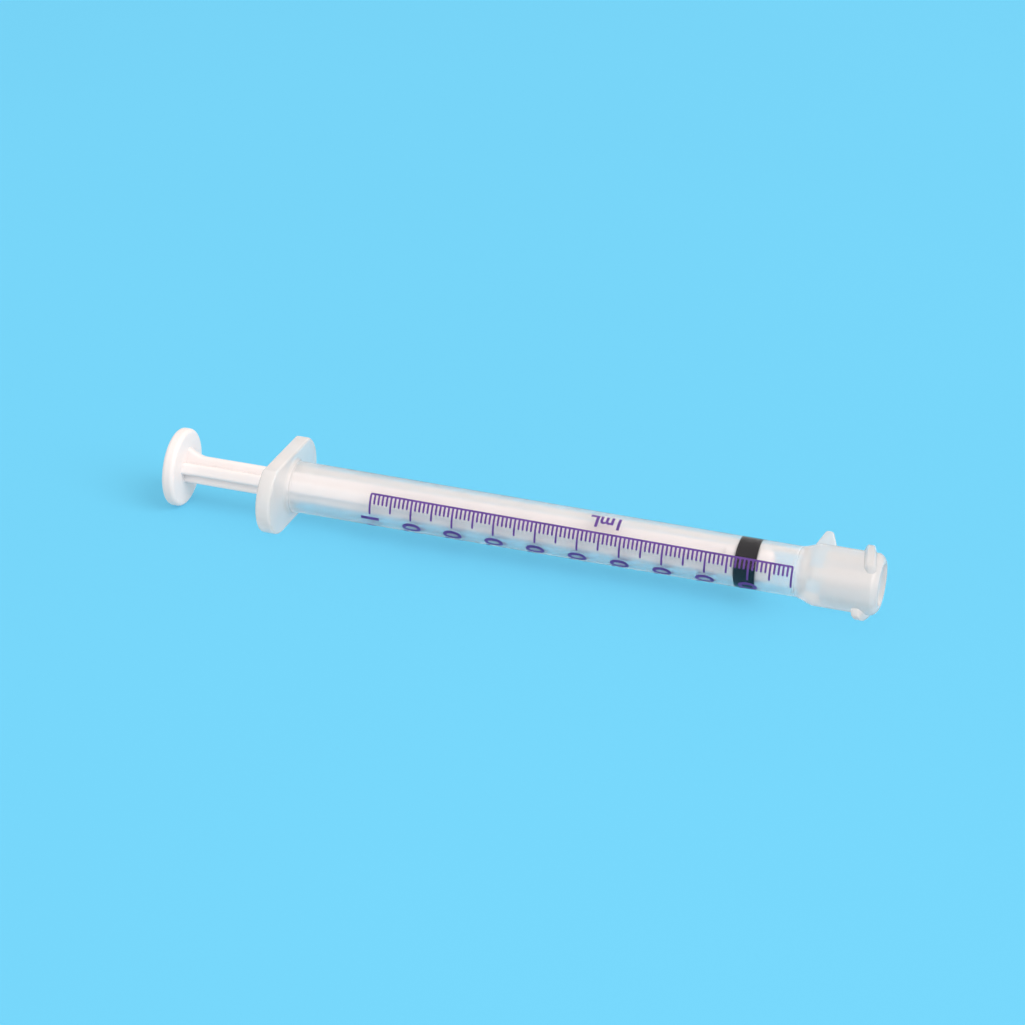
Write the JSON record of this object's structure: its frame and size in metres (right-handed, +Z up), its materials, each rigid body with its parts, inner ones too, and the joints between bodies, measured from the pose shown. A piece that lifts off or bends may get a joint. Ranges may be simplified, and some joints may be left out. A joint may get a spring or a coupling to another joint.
{
  "type": "oral syringe",
  "caption": "Slim oral syringe lying on its side: clear barrel with finger flange and lugged enteral connector, white plunger rod that slides, and a black rubber seal.",
  "frame": {"origin": "on the surface that the syringe lies on, under the middle of its bounding box", "axes": "+X along the syringe's axis towards the connector, +Z up, flange flats level; +Y completes the right-handed set and runs along the finger flange"},
  "size_m": [0.0982, 0.018, 0.0107],
  "materials": {
    "barrel": "clear to milky polypropylene, smooth and slightly glossy",
    "plunger": "white polypropylene, satin",
    "seal": "black moulded rubber, satin",
    "print": "purple scale ink, a thin skin on the barrel"
  },
  "bodies": {
    "barrel": {"barrel": "barrel"},
    "seal": {"seal": "seal"},
    "plunger": {"plunger_rod": "plunger"}
  },
  "joints": [
    {"name": "plunger_slide", "type": "slide", "parent": "barrel", "child": "seal", "axis": [1, 0, 0], "range_m": [-0.057, 0.0049]},
    {"name": "plunger_spin", "type": "hinge", "parent": "seal", "child": "plunger", "pos_m": [0.03138, 0, 0.00535], "axis": [1, 0, 0], "continuous": true}
  ]
}
